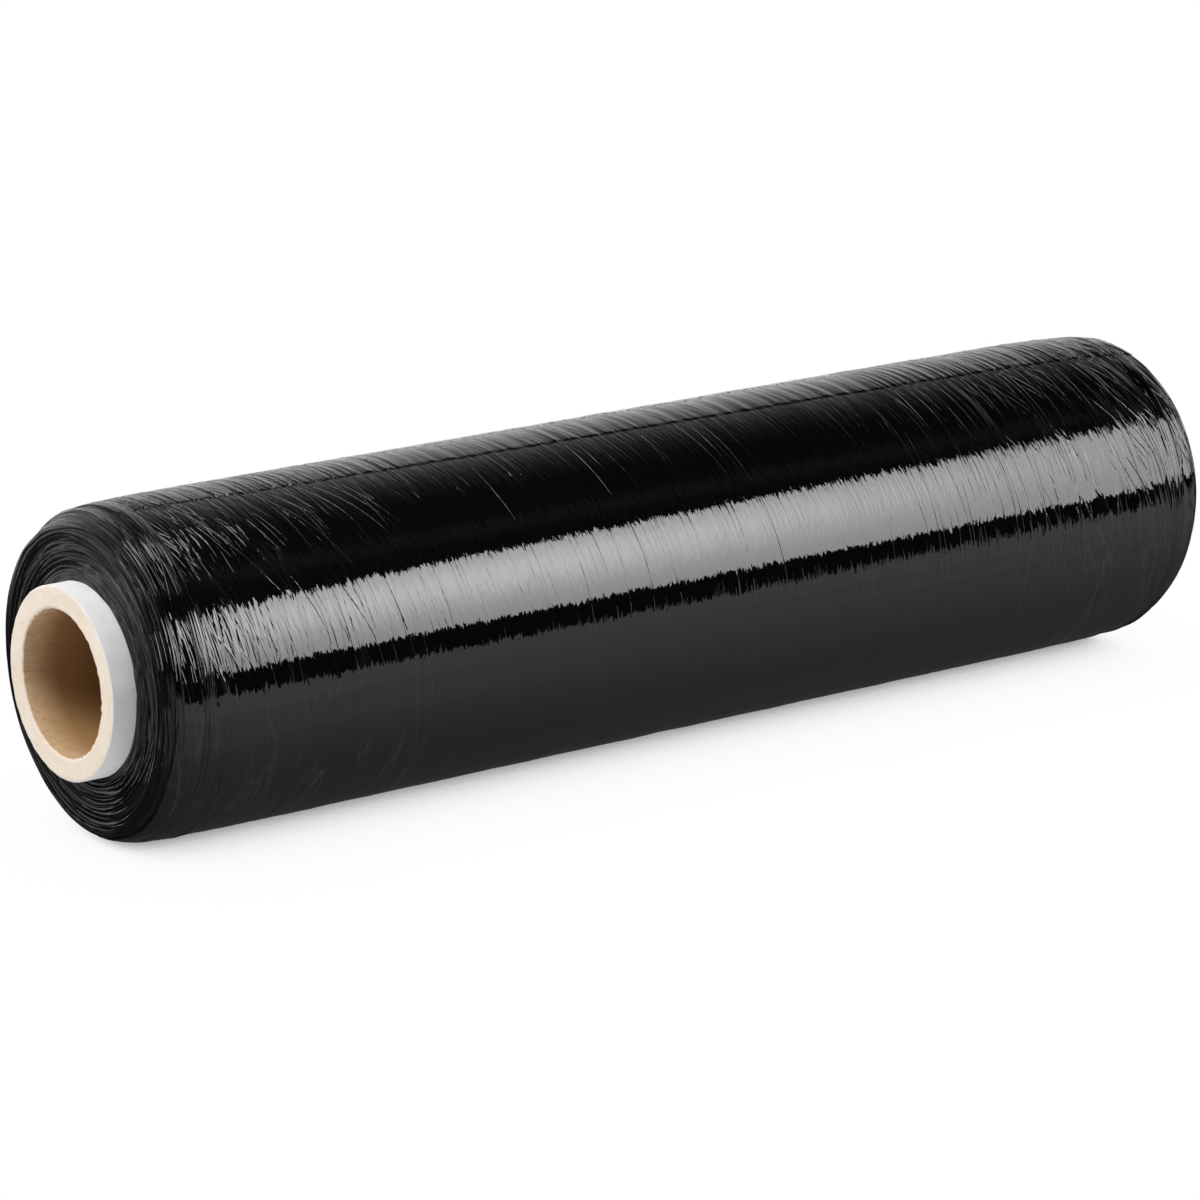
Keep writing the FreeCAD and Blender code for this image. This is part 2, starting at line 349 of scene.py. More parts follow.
light_out = add(
    tree, "ShaderNodeEmission", {"Color": (0.985, 0.985, 1.02, 1), "Strength": strength}
).outputs[0]
add(tree, "ShaderNodeOutputMaterial", {"Surface": light_out})
panel_mesh.materials.append(panel_glow)

add_area("shoulder_softbox", (-0.17, -0.87, 0.45), 1.0, 0.26, 0.42, 10.0, in_film=True)
add_area("overhead_softbox", (-0.05, -0.09, 1.00), 1.0, 0.50, 0.8, 5.5, in_film=True)
add_area("paper_light", (-0.55, 0.13, 0.82), 1.3, 0.6, 0.6, 13.6, in_film=False)
print("band softbox at", tuple(round(v, 3) for v in panel_centre))

# %% [markdown]
# ## Ring-shaped meshes
#
# Both pieces of the roll are closed rings: a profile that closes on itself, carried round the axis. One
# helper builds such a mesh from two arrays, the distance along the axis and the radius, with one row for
# each angle and one column for each place on the profile. Every surface detail is then a change of those
# two arrays.

# %% Ring mesh
def make_ring(name, along, radius, angles, flatten=False):
    """A closed mesh from a grid in millimetres: rows go round the roll, columns along the profile."""
    rows, columns = along.shape
    points = np.empty((rows, columns, 3))
    points[..., 0] = along
    points[..., 1] = -radius * np.cos(angles)
    points[..., 2] = radius * np.sin(angles) + axis_height
    if flatten:
        points[..., 2] = np.maximum(points[..., 2], 0.0)
    corner = np.arange(rows * columns).reshape(rows, columns)
    below = np.roll(corner, -1, axis=0)
    beside = np.roll(corner, -1, axis=1)
    across = np.roll(below, -1, axis=1)
    quads = np.stack([corner, below, across, beside], axis=-1).reshape(-1, 4)
    mesh = bpy.data.meshes.new(name)
    mesh.from_pydata((points.reshape(-1, 3) * MM).tolist(), [], quads.tolist())
    mesh.shade_smooth()
    piece = bpy.data.objects.new(name, mesh)
    bpy.context.scene.collection.objects.link(piece)
    print(name, "faces", len(mesh.polygons))
    return piece


# %% [markdown]
# ## Random waves
#
# Film and paper are uneven in ways that have no pattern but do have a size: so many millimetres from
# crest to crest along the axis, so many crests round the roll. A sum of a few dozen cosines with random
# phases gives such a surface, and because each goes a whole number of times round the roll, there is no
# seam.

# %% Random waves
def random_waves(along, angles, lengths, turns, count, seed):
    """A surface of height about 1: waves of given lengths in millimetres and given counts round the roll."""
    draw = np.random.default_rng(seed)
    total = np.zeros(np.broadcast(along, angles).shape)
    for _ in range(count):
        length = math.exp(draw.uniform(math.log(lengths[0]), math.log(lengths[1])))
        crests = draw.integers(turns[0], turns[1] + 1)
        phase = draw.uniform(0, 2 * math.pi)
        total += np.cos(2 * math.pi * along / length + crests * angles + phase)
    return total * math.sqrt(2 / count)


# %% [markdown]
# ## The paper tube
#
# The tube is wound from strips of paper glued in a spiral: brown kraft plies inside and one white ply
# outside. It was cut to length with a blade, so its ends are cream, a little uneven, with a soft burr
# round the bore. It could be the plain solid with new materials, but then its rims would be perfect
# circles. It is built here as a ring with the solid's own sizes, and its rims stray by a tenth of a
# millimetre.

# %% Core mesh
MOUTH_BEVEL = 0.5
RIM_BEVEL = 0.3
core_angles = np.linspace(0, 2 * np.pi, 360, endpoint=False)[:, None]
cut_steps = np.linspace(bore_radius + MOUTH_BEVEL, core_radius - RIM_BEVEL, 9)
outside_steps = np.linspace(-core_half + RIM_BEVEL, core_half - RIM_BEVEL, 24)
bore_steps = np.linspace(core_half - MOUTH_BEVEL, -core_half + MOUTH_BEVEL, 40)
core_along = np.concatenate([
    np.full(cut_steps.size, -core_half),
    outside_steps,
    np.full(cut_steps.size, core_half),
    bore_steps,
])
core_profile = np.concatenate([
    cut_steps,
    np.full(outside_steps.size, core_radius),
    cut_steps[::-1],
    np.full(bore_steps.size, bore_radius),
])
at_end = np.abs(core_along) > core_half - 1.0
in_bore = core_profile < bore_radius + MOUTH_BEVEL + 0.1
roughness_of_cut = random_waves(core_profile[None, :], core_angles, (1.5, 6.0), (-40, 40), 60, 11)
burr = random_waves(core_along[None, :], core_angles, (5.0, 30.0), (-60, 60), 60, 12)
core_along_grid = core_along[None, :] - np.sign(core_along) * at_end * (0.05 + 0.05 * roughness_of_cut)
core_radius_grid = core_profile[None, :] + np.where(at_end & in_bore, 0.10 * burr, 0.0)
paper_core = make_ring("paper_core", core_along_grid, core_radius_grid, core_angles)

CUT_FACE, WHITE_PLY, BORE_WALL = 0, 1, 2
column_finish = np.full(core_along.size, BORE_WALL)
column_finish[: cut_steps.size - 1] = CUT_FACE
column_finish[cut_steps.size - 1 : cut_steps.size + outside_steps.size] = WHITE_PLY
column_finish[cut_steps.size + outside_steps.size : 2 * cut_steps.size + outside_steps.size - 1] = CUT_FACE
column_finish[2 * cut_steps.size + outside_steps.size - 1] = CUT_FACE
column_finish[-1] = CUT_FACE
paper_core.data.polygons.foreach_set(
    "material_index", np.tile(column_finish, core_angles.size).astype(np.int32)
)
print("core columns", core_along.size)

# %% [markdown]
# Paper is matte, and its look is in small things: fibres that show as flecks, and on the cut end the
# edges of the plies as faint rings. The flecks are needed three times, so they are a group: noise
# stretched along one direction and cut off so that only its peaks show.

# %% Fleck group
flecks, given, result = start_group("flecks", {"Across mm": 0.6, "Along mm": 2.0, "Amount": 0.4}, ["Mask"])
place = add(flecks, "ShaderNodeTexCoord").outputs["Object"]
split = add(flecks, "ShaderNodeSeparateXYZ", {0: place}).outputs
across_scale = calculate(flecks, "DIVIDE", 1000.0, given["Across mm"])
along_scale = calculate(flecks, "DIVIDE", 1000.0, given["Along mm"])
stretched = add(flecks, "ShaderNodeCombineXYZ", {
    0: calculate(flecks, "MULTIPLY", split["X"], across_scale),
    1: calculate(flecks, "MULTIPLY", split["Y"], along_scale),
    2: calculate(flecks, "MULTIPLY", split["Z"], along_scale),
}).outputs[0]
noise = add(
    flecks, "ShaderNodeTexNoise", {"Vector": stretched, "Scale": 1.0, "Detail": 3.0, "Distortion": 0.6}
).outputs["Fac"]
start = calculate(flecks, "SUBTRACT", 0.75, calculate(flecks, "MULTIPLY", given["Amount"], 0.35))
peaks = remap(flecks, noise, start, calculate(flecks, "ADD", start, 0.12))
flecks.links.new(peaks, result["Mask"])
print("fleck group made")

# %% Paper materials
def paper_material(
    name, dark, light, fleck_colour, fleck_size, fleck_amount, bump_mm, rings=False, painted_deep_shade=None
):
    """Matte paper between two colours, with flecks, and with ply rings or a painted shade that darkens it
    further into the bore, where wanted.
    """
    material, tree, surface = start_material(name)
    place = add(tree, "ShaderNodeTexCoord").outputs["Object"]
    cloud = add(
        tree, "ShaderNodeTexNoise", {"Vector": place, "Scale": 120.0, "Detail": 5.0, "Roughness": 0.65}
    ).outputs["Fac"]
    tone = remap(tree, cloud, 0.35, 0.65)
    if rings:
        split = add(tree, "ShaderNodeSeparateXYZ", {0: place}).outputs
        lifted = calculate(tree, "SUBTRACT", split["Z"], axis_height * MM)
        flat = add(tree, "ShaderNodeCombineXYZ", {0: 0.0, 1: split["Y"], 2: lifted}).outputs[0]
        out_from_axis = add(tree, "ShaderNodeVectorMath", {0: flat}, operation="LENGTH").outputs["Value"]
        ring_place = add(tree, "ShaderNodeCombineXYZ", {
            0: calculate(tree, "MULTIPLY", out_from_axis, 1600.0),
            1: calculate(tree, "MULTIPLY", split["Y"], 60.0),
            2: calculate(tree, "MULTIPLY", split["Z"], 60.0),
        }).outputs[0]
        ring_noise = add(
            tree, "ShaderNodeTexNoise", {"Vector": ring_place, "Scale": 1.0, "Detail": 2.0}
        ).outputs["Fac"]
        tone = calculate(
            tree, "ADD", calculate(tree, "MULTIPLY", tone, 0.5),
            remap(tree, ring_noise, 0.3, 0.7, 0.0, 0.5)
        )
    body = add(
        tree, "ShaderNodeMix", {"Factor": tone, "A": (*dark, 1), "B": (*light, 1)}, data_type="RGBA"
    ).outputs[2]
    # Painted shade: further into the bore from either end the colour turns darker and browner, standing in
    # for the shade inside the tube.
    if painted_deep_shade:
        from_middle = calculate(tree, "ABSOLUTE", add(tree, "ShaderNodeSeparateXYZ", {0: place}).outputs["X"])
        depth = remap(tree, from_middle, core_half * MM - 0.001, core_half * MM - 0.014)
        body = add(
            tree, "ShaderNodeMix", {"Factor": depth, "A": body, "B": (*painted_deep_shade, 1)}, data_type="RGBA"
        ).outputs[2]
    mask = place_group(
        tree, flecks, {"Across mm": fleck_size[0], "Along mm": fleck_size[1], "Amount": fleck_amount}
    )["Mask"]
    faint = calculate(tree, "MULTIPLY", mask, 0.5)
    colour = add(
        tree, "ShaderNodeMix", {"Factor": faint, "A": body, "B": (*fleck_colour, 1)}, data_type="RGBA"
    ).outputs[2]
    tree.links.new(colour, surface.inputs["Base Color"])
    surface.inputs["Roughness"].default_value = 0.85
    surface.inputs["Specular IOR Level"].default_value = 0.25
    bump = add(tree, "ShaderNodeBump", {"Height": tone, "Strength": 1.0, "Distance": bump_mm * MM}).outputs[0]
    tree.links.new(bump, surface.inputs["Normal"])
    return material


cut_face = paper_material(
    "cut_paper", (0.80, 0.68, 0.55), (0.90, 0.80, 0.69), (0.55, 0.42, 0.30), (0.8, 0.8), 0.35, 0.05,
    rings=True
)
white_ply = paper_material(
    "white_ply", (0.80, 0.80, 0.80), (0.88, 0.88, 0.88), (0.70, 0.69, 0.67), (2.0, 1.2), 0.2, 0.01
)
# The kraft liner carries painted shade deeper in the bore.
bore_wall = paper_material(
    "kraft_liner", (0.56, 0.37, 0.21), (0.66, 0.46, 0.28), (0.24, 0.13, 0.05), (3.0, 0.6), 0.5, 0.04,
    painted_deep_shade=(0.37, 0.215, 0.095)
)
for material in (cut_face, white_ply, bore_wall):
    paper_core.data.materials.append(material)
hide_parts("core_tube")
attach(paper_core, "root")
print("paper core dressed")

# %% [markdown]
# ## The wound turns
#
# Seen from its end, a roll of film shows the edges of its turns. They never line up: the film wanders a
# little as it is wound, so the edges make ridges that run side by side like wood grain, pinch together
# and spread apart. The inner turns lie nearly square, and the last ones draw back in a rounded shoulder.
# The profile of that shoulder is one formula: the radius falls away faster and faster as it nears the
# edge.

# %% Shoulder of the winding
WRAP_LIFT = 0.35
NEAR_LEAN = (1.2, 15)
FAR_LEAN = (4.5, 50)


def shoulder_radius(inset, rim_drop=5.8, reach=5.0, power=0.655):
    """The winding's radius at a distance in from the edge of its inner turns."""
    return film_radius - rim_drop * np.exp(-(np.maximum(inset, 0.0) / reach) ** power)


def end_lean(angles, amount, towards):
    """How far an end reaches out of square: most towards one angle, and as much the other way opposite it."""
    return amount * np.cos(angles - math.radians(towards))


print("radius 1, 8 and 30 mm in:", [round(float(shoulder_radius(inset)), 2) for inset in (1, 8, 30)])

# %% [markdown]
# The ridges could be cut one by one, but that many circles look turned on a lathe. Here they are one
# uneven line of peaks, read along the profile from the core outwards. Before it is read, the place on the
# profile is pushed to and fro by slow random waves, and that makes the ridges wander together.

# %% Turn edges
def ridge_line(length, spacing, depth, seed):
    """Heights along a line: peaks at uneven distances, with a fine saw of single turns between them."""
    draw = np.random.default_rng(seed)
    line = np.arange(0.0, length, 0.02)
    heights = np.zeros(line.size)
    at = 0.3
    while at < length:
        width = spacing * draw.uniform(0.17, 0.30)
        heights += depth * draw.uniform(0.35, 1.0) * np.exp(-(((line - at) / width) ** 2))
        at += spacing * draw.uniform(0.6, 1.4)
    at = 0.1
    while at < length:
        heights += 0.22 * depth * draw.uniform(0.2, 1.0) * np.exp(-(((line - at) / 0.16) ** 2))
        at += 0.5 * draw.uniform(0.6, 1.4)
    return line, heights


def turn_edges(path, angles, spacing, depth, wander, seed):
    """Height of the turn edges at a distance along the profile and an angle round the roll."""
    pushed = path + wander * random_waves(path, angles, (6.0, 30.0), (-4, 4), 24, seed)
    pushed = pushed + 0.25 * wander * random_waves(path, angles, (3.0, 9.0), (-11, 11), 24, seed + 1)
    line, heights = ridge_line(90.0, spacing, depth, seed + 2)
    return np.interp(pushed + 6.0, line, heights)


# %% [markdown]
# The profile now goes from the core out over the near end, along the middle, which the outer turn hides,
# and back in over the far end to the core. The two ends get fine columns, the middle only a few.

# %% Wound turns mesh
turn_angles = np.linspace(0, 2 * np.pi, 300, endpoint=False)[:, None]
FACE_RIM = 5.8


def end_profile(step, reach_in, rim_drop):
    """Inset and radius along one end, from the core outwards, and the distance travelled."""
    face = np.arange(core_radius, film_radius - rim_drop, step)
    insets = np.concatenate(
        [[0.0], np.cumsum(np.linspace(0.25 * step, step, int(reach_in / (0.625 * step))))]
    )
    inset = np.concatenate([np.zeros(face.size), insets])
    radius = np.concatenate([face, shoulder_radius(insets, rim_drop)])
    travelled = np.concatenate([[0.0], np.cumsum(np.hypot(np.diff(inset), np.diff(radius)))])
    return inset, radius, travelled


near_inset, near_radius, near_path = end_profile(0.30, 26.0, FACE_RIM)
far_inset, far_radius, far_path = end_profile(0.55, 20.0, FACE_RIM)


def profile_normal(inset, radius):
    """Unit direction out of the surface: towards the end and away from the axis."""
    inwards = np.gradient(inset)
    outwards = np.gradient(radius)
    size = np.hypot(inwards, outwards)
    return outwards / size, inwards / size


def dress_end(inset, radius, path, side, lean, towards, spacing, depth, wander, seed):
    """Along and radius arrays of one end with its ridges and its lean."""
    to_end, to_out = profile_normal(inset, radius)
    height = turn_edges(path[None, :], turn_angles, spacing, depth, wander, seed) - 0.6 * depth
    swell = 0.28 * random_waves(path[None, :], turn_angles, (7.0, 20.0), (-2, 2), 16, seed + 5)
    share = np.clip((radius[None, :] - core_radius) / (film_radius - core_radius), 0, 1)
    fade = np.clip((inset[None, :].max() - inset[None, :]) / 4.0, 0, 1)
    height = height * np.clip(1.15 - 0.5 * share, 0, 1) + swell
    leaning = end_lean(turn_angles, lean, towards) * share**2 * np.clip(1 - inset[None, :] / 60.0, 0, 1)
    along = side * (film_half - inset[None, :] + leaning + height * to_end[None, :])
    across = radius[None, :] - WRAP_LIFT * (1 - fade) + height * to_out[None, :] * fade
    return along, np.maximum(across, core_radius)


near_along, near_across = dress_end(near_inset, near_radius, near_path, -1, *NEAR_LEAN, 1.9, 0.55, 0.7, 31)
far_along, far_across = dress_end(far_inset, far_radius, far_path, 1, *FAR_LEAN, 1.9, 0.6, 0.6, 47)
middle = np.linspace(near_along[0, -1], far_along[0, -1], 8)[1:-1]
seat = np.linspace(film_half - 2, -film_half + 2, 6)
rows = np.ones((turn_angles.size, 1))
turns_along = np.concatenate([near_along, rows * middle, far_along[:, ::-1], rows * seat], axis=1)
turns_across = np.concatenate([
    near_across,
    rows * np.full(middle.size, film_radius - WRAP_LIFT - 0.1),
    far_across[:, ::-1],
    rows * np.full(seat.size, core_radius),
], axis=1)
wound_turns = make_ring("wound_turns", turns_along, turns_across, turn_angles, flatten=True)

# %% [markdown]
# ## The outer turn
#
# The last turn is what the eye meets: one layer of film, pulled tight round the roll, that mirrors the
# softbox. Its near edge stops short of the turns below, so a dark shoulder shows beside it. It is a thin
# sleeve of its own, with finer columns near both ends, where film crumples most, and finer rows on the
# front and top.

# %% Grid of the outer turn
NEAR_EDGE = 5.5
FAR_EDGE = 3.0


def graded(points):
    """Values from pairs of a limit and a step: each stretch is filled with its own step."""
    values = []
    for (start, step), (stop, _) in zip(points, points[1:]):
        count = max(1, round((stop - start) / step))
        values.extend(np.linspace(start, stop, count, endpoint=False))
    values.append(points[-1][0])
    return np.array(values)


wrap_insets = graded(
    [(NEAR_EDGE, 0.35), (80.0, 0.55), (120.0, 1.3), (330.0, 0.6), (385.0, 0.42), (film_width - FAR_EDGE, 0.4)]
)
TAIL_ANGLE = 77.0
row_degrees = graded(
    [(-64.0, 2.0), (TAIL_ANGLE - 3.0, 0.4), (TAIL_ANGLE + 3.0, 2.0), (116.0, 6.0), (296.0, 6.0)]
)[:-1]
print("outer turn columns", wrap_insets.size, "rows", row_degrees.size)

# %% [markdown]
# The loose end of the film lies along the top. It is cut square, but it was stretched as it was wound, so
# it drifts to the front by about 10 degrees from the near end to the far one. The rows of the grid follow
# that line, because a step that crosses the rows at a slant would come out as a saw.

# %% Tail line
def tail_degrees(inset):
    """Angle at which the loose end lies, at a distance in from the near edge of the film."""
    return np.interp(
        inset, [0, 16, 62, 151, 301, 380, film_width], [83.4, 82.7, 80.2, 78.3, 76.3, 74.8, 72.2]
    )


row_angles = row_degrees[:, None]
inset_grid = np.broadcast_to(wrap_insets[None, :], (row_degrees.size, wrap_insets.size))
pull = np.exp(-(((row_angles - TAIL_ANGLE) / 22.0) ** 2))
degrees_grid = row_angles + pull * (tail_degrees(wrap_insets)[None, :] - TAIL_ANGLE)
angle_grid = np.radians(degrees_grid)
hoop_grid = angle_grid * film_radius
print("tail from", float(tail_degrees(15)), "to", float(tail_degrees(445)), "degrees")

# %% [markdown]
# ## Creases
#
# Stretched film creases along the pull, that is round the roll. Each crease is a sharp little ridge with
# a dip beside it, a few centimetres long, and it leans as it runs down the front. They crowd at both
# ends, where the film's free edge gathers, and a few long ones cross the middle. A crease is drawn as a
# curve of inset against distance round the roll, and its height fades at both tips.

# %% Crease field
def add_creases(height, count, where, length, lean, curve, width, depth, seed):
    """Adds random creases to a height grid. Each range is a low and a high value in millimetres."""
    draw = np.random.default_rng(seed)
    for _ in range(count):
        centre = draw.uniform(-64.0, 296.0)
        away = (degrees_grid - centre + 180.0) % 360.0 - 180.0
        down = -np.radians(away) * film_radius
        half = draw.uniform(*length) / 2
        start = where(draw.uniform())
        bend = draw.uniform(*curve) / half
        sway = draw.uniform(0.1, 0.5) * np.sin(down / draw.uniform(4.0, 12.0) + draw.uniform(0, 6.3))
        line = start + draw.uniform(*lean) * down + bend * down**2 / half + sway
        off = (inset_grid - line) / draw.uniform(*width)
        shape = np.exp(-(off**2)) - 0.45 * np.exp(-(((off - 1.9) / 1.5) ** 2))
        tips = np.clip(1 - (down / half) ** 2, 0, 1) ** 1.5
        height += draw.uniform(*depth) * draw.choice((1.0, 1.0, -0.8)) * shape * tips
    return height


crease_height = np.zeros(inset_grid.shape)
near_crowd = lambda share: 11.0 + 36.0 * share**1.3
near_fan = lambda share: 22.0 + 85.0 * share
far_crowd = lambda share: 455.0 - 30.0 * share**1.3
far_fan = lambda share: 440.0 - 75.0 * share
whole = lambda share: 60.0 + 340.0 * share
add_creases(crease_height, 80, near_crowd, (20, 55), (-0.05, 0.36), (-2, 5), (0.40, 0.70), (0.06, 0.20), 71)
add_creases(crease_height, 50, near_fan, (30, 80), (0.1, 0.4), (-4, 8), (0.50, 0.80), (0.05, 0.14), 72)
add_creases(crease_height, 70, far_crowd, (14, 44), (0.05, 0.40), (-2, 4), (0.50, 0.90), (0.12, 0.34), 73)
add_creases(crease_height, 70, far_fan, (15, 55), (0.15, 0.45), (-3, 6), (0.50, 0.80), (0.05, 0.14), 74)
add_creases(crease_height, 30, whole, (50, 140), (0.02, 0.14), (-2, 3), (0.6, 0.9), (0.02, 0.05), 75)
print(
    "crease height from", round(float(crease_height.min()), 2), "to",
    round(float(crease_height.max()), 2), "mm"
)

# %% [markdown]
# Between the creases the film is drawn into fine lines round the roll, which lean a little, and the whole
# layer rises and falls by less than a tenth of a millimetre where air is trapped below it. Both are
# random waves. The step at the loose end comes last: the layer that lies on top ends there and drops to
# the one below.

# %% Outer turn mesh
fine_lines = random_waves(inset_grid, angle_grid, (1.6, 3.6), (2, 16), 60, 81)
long_lines = random_waves(inset_grid, angle_grid, (4.0, 12.0), (-3, 12), 40, 82)
trapped_air = random_waves(inset_grid, angle_grid, (18.0, 70.0), (-5, 5), 40, 83)
crowding = np.exp(-inset_grid / 30.0) + 0.8 * np.exp(-(film_width - inset_grid) / 35.0)
calm_edge = np.clip((inset_grid - 9.0) / 5.0, 0.12, 1.0)
wrinkles = calm_edge * (
    crease_height + (0.010 + 0.012 * crowding) * fine_lines + (0.012 + 0.05 * crowding) * long_lines
)
wrinkles += 0.045 * trapped_air

tail_jitter = 0.32 * random_waves(inset_grid, 0 * angle_grid, (1.2, 8.0), (0, 0), 60, 84)
tail_height = 0.32 * np.clip(
    0.8 + 0.55 * random_waves(inset_grid, 0 * angle_grid, (1.5, 9.0), (0, 0), 60, 86), 0.12, 1.6
)
past_tail = (degrees_grid - tail_degrees(inset_grid)) * film_radius * math.pi / 180 + tail_jitter
top_layer = tail_height * np.clip(past_tail / 0.8 + 0.5, 0, 1) * np.exp(-np.maximum(past_tail, 0) / 30.0)

lean_near = end_lean(angle_grid, *NEAR_LEAN) * np.exp(-inset_grid / 25.0)
lean_far = end_lean(angle_grid, *FAR_LEAN) * np.exp(-(film_width - inset_grid) / 25.0)
edge_wander = 0.35 * random_waves(0 * inset_grid, angle_grid, (10, 20), (-9, 9), 20, 85)
edge_wander += np.interp(
    (degrees_grid + 180.0) % 360.0 - 180.0,
    [-180, -120, -60, -14, 12, 21, 34, 45, 56, 80, 110, 150, 180],
    [-1.0, -2.5, -3.8, -3.3, -0.8, 0.2, 1.6, 3.6, 5.4, 6.3, 5.5, 1.5, -1.0],
)
edge_shift = edge_wander * np.exp(-((inset_grid - NEAR_EDGE) / 16.0) ** 2)
wrap_along = -film_half + inset_grid - lean_near + lean_far + edge_shift
from_far = film_half + lean_far - wrap_along
from_near = film_half + lean_near + wrap_along
near_skin = shoulder_radius(from_near)
far_skin = shoulder_radius(from_far)
wrap_across = np.minimum(near_skin, far_skin) + wrinkles + top_layer
hem = np.clip((inset_grid - NEAR_EDGE) / 1.2, 0, 1)
wrap_across += 0.12 * (1 - hem) + 0.10

lining_picks = np.linspace(wrap_insets.size - 1, 0, 14).astype(int)
lining_along = wrap_along[:, lining_picks]
lining_across = np.minimum(near_skin, far_skin)[:, lining_picks] - WRAP_LIFT
outer_wrap = make_ring(
    "outer_wrap",
    np.concatenate([wrap_along, lining_along], axis=1),
    np.concatenate([wrap_across, lining_across], axis=1),
    np.concatenate([angle_grid, angle_grid[:, lining_picks]], axis=1),
    flatten=True,
)
print("wrinkles stand", round(float(wrinkles.max()), 2), "mm proud at most")

# %% [markdown]
# ## Black film
#
# The film is black all through, so it has hardly any colour of its own. Its look is a clear, sharp gloss,
# broken by lines finer than any mesh. Three groups make them as heights. The first only stretches and
# slants the place on the roll, because all lines run round the roll with some slant. It takes the slant
# from the height and the depth of a place rather than from its angle, so there is no seam at the back.

# %% Hoop place group
hoop_place = bpy.data.node_groups.new("hoop_place", "ShaderNodeTree")
for label, value in (
    ("Across mm", 2.0), ("Along mm", 20.0), ("Slant", 0.1), ("Top slant", 0.1), ("Shift", 0.0)
):
    hoop_place.interface.new_socket(
        label, in_out="INPUT", socket_type="NodeSocketFloat"
    ).default_value = value
hoop_place.interface.new_socket("Place", in_out="OUTPUT", socket_type="NodeSocketVector")
given = hoop_place.nodes.new("NodeGroupInput").outputs
result = hoop_place.nodes.new("NodeGroupOutput").inputs
place = add(hoop_place, "ShaderNodeTexCoord").outputs["Object"]
split = add(hoop_place, "ShaderNodeSeparateXYZ", {0: place}).outputs
slanted = calculate(hoop_place, "MULTIPLY_ADD", split["Z"], given["Slant"], split["X"])
slanted = calculate(hoop_place, "MULTIPLY_ADD", split["Y"], given["Top slant"], slanted)
across_scale = calculate(hoop_place, "DIVIDE", 1000.0, given["Across mm"])
along_scale = calculate(hoop_place, "DIVIDE", 1000.0, given["Along mm"])
stretched = add(hoop_place, "ShaderNodeCombineXYZ", {
    0: calculate(hoop_place, "MULTIPLY_ADD", slanted, across_scale, given["Shift"]),
    1: calculate(hoop_place, "MULTIPLY", split["Y"], along_scale),
    2: calculate(hoop_place, "MULTIPLY", split["Z"], along_scale),
}).outputs[0]
hoop_place.links.new(stretched, result["Place"])
print("hoop place group made")

# %% [markdown]
# The second group gives soft streaks, plain noise on that place. The third gives creases: where the noise
# crosses its middle value it leaves a thin line that winds on without an end, so a coarser noise lets the
# line fade in and out. A crease stands up sharply and falls away at both sides.

# %% Streak and crease groups
def hoop_group(name, inputs):
    """A group that starts from the hoop place, with its own further inputs and a height as its output."""
    shared = {"Across mm": 2.0, "Along mm": 20.0, "Slant": 0.1, "Top slant": 0.1, "Shift": 0.0}
    group, given, result = start_group(name, {**shared, **inputs}, ["Height"])
    used = add(group, "ShaderNodeGroup", node_tree=hoop_place)
    for label in shared:
        group.links.new(given[label], used.inputs[label])
    return group, given, result, used.outputs["Place"]


streaks, given, result, place = hoop_group("hoop_streaks", {"Detail": 1.0})
noise = add(
    streaks, "ShaderNodeTexNoise", {"Vector": place, "Scale": 1.0, "Detail": given["Detail"]}
).outputs["Fac"]
streaks.links.new(noise, result["Height"])

creases, given, result, place = hoop_group("creases", {"Sharpness": 10.0, "Share": 0.5})
noise = add(creases, "ShaderNodeTexNoise", {"Vector": place, "Scale": 1.0, "Detail": 0.6}).outputs["Fac"]
from_line = calculate(creases, "SUBTRACT", noise, 0.5)
from_line = calculate(creases, "ABSOLUTE", from_line)
from_line = calculate(creases, "MULTIPLY", from_line, given["Sharpness"])
line = calculate(creases, "SUBTRACT", 1.0, from_line, use_clamp=True)
line = calculate(creases, "POWER", line, 1.5)
coarse_place = add(
    creases, "ShaderNodeVectorMath", {0: place, 1: (0.45, 1.3, 1.3)}, operation="MULTIPLY"
).outputs[0]
coarse = add(
    creases, "ShaderNodeTexNoise", {"Vector": coarse_place, "Scale": 1.0, "Detail": 0.0}
).outputs["Fac"]
lowest = remap(creases, given["Share"], 0.0, 1.0, 0.68, 0.30)
highest = calculate(creases, "ADD", lowest, 0.10)
fade = remap(creases, coarse, lowest, highest, interpolation_type="SMOOTHSTEP")
creases.links.new(calculate(creases, "MULTIPLY", line, fade), result["Height"])
print("streak and crease groups made")

# %% [markdown]
# A family of creases is a row of numbers: the zone it lives in, its size across and along, its slant, its
# width, how much of the surface it takes, how high it stands and how much lighter its base colour is
# painted, a painted glint along the crease. A shader can only hold so many families at once, so the near
# half and the far half of the roll each get a material with their own. In the middle, where the halves
# meet, both have the same ones. Where the eye grazes the film, bumps would sparkle, so there they fade.

